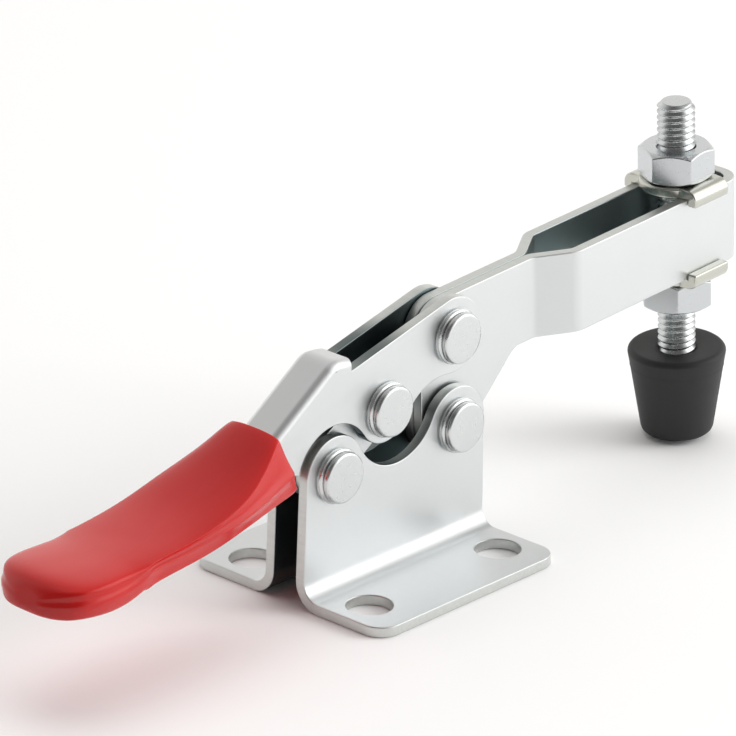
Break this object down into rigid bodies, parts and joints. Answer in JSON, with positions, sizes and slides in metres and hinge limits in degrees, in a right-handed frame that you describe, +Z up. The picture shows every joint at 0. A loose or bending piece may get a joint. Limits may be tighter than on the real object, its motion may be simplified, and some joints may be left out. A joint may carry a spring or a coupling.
{
  "type": "toggle clamp",
  "caption": "Horizontal toggle clamp with a flanged base, U-bar arm, dipped grip handle and a rubber-tipped threaded spindle.",
  "frame": {"origin": "centre of the four mounting holes, on the face that the base stands on", "axes": "+X from the grip towards the spindle, +Y to the far side, +Z up out of the base"},
  "size_m": [0.1498, 0.039, 0.0562],
  "materials": {
    "base_steel": "bright zinc plating",
    "rivet_steel": "bright zinc plating",
    "arm_steel": "bright zinc plating",
    "link_steel": "bright zinc plating",
    "handle_steel": "bright zinc plating",
    "spindle_steel": "bright zinc plating",
    "nut_steel": "bright zinc plating",
    "washer_steel": "bright zinc plating",
    "grip_vinyl": "glossy dipped vinyl",
    "tip_rubber": "matte moulded rubber"
  },
  "bodies": {
    "base": {"base_plate_front": "base_steel", "base_plate_rear": "base_steel", "arm_pivot_rivet": "rivet_steel", "link_pivot_rivet": "rivet_steel"},
    "arm": {"clamp_arm": "arm_steel", "spindle": "spindle_steel", "upper_nut": "nut_steel", "lower_nut": "nut_steel", "upper_flanged_washer": "washer_steel", "lower_flanged_washer": "washer_steel", "rubber_tip": "tip_rubber"},
    "handle": {"handle_lever": "handle_steel", "grip": "grip_vinyl", "handle_pivot_rivet": "rivet_steel", "toggle_rivet_front": "rivet_steel", "toggle_rivet_rear": "rivet_steel"},
    "link": {"link_front": "link_steel", "link_rear": "link_steel", "toggle_rivet_core": "rivet_steel"}
  },
  "joints": [
    {"name": "arm_lift", "type": "hinge", "parent": "base", "child": "arm", "pos_m": [0.0134, 0, 0.0196], "axis": [0, -1, 0], "range_deg": [0, 70]},
    {"name": "handle_swing", "type": "hinge", "parent": "arm", "child": "handle", "pos_m": [0.01265, 0, 0.03398], "axis": [0, -1, 0], "range_deg": [-133.5, 0]},
    {"name": "link_swing", "type": "hinge", "parent": "base", "child": "link", "pos_m": [-0.0129, 0, 0.0196], "axis": [0, -1, 0], "range_deg": [0, 60]}
  ],
  "couplings": [
    {"joint": "handle_swing", "follows": "arm_lift", "ratio": -1.9},
    {"joint": "link_swing", "follows": "arm_lift", "ratio": 0.85}
  ]
}
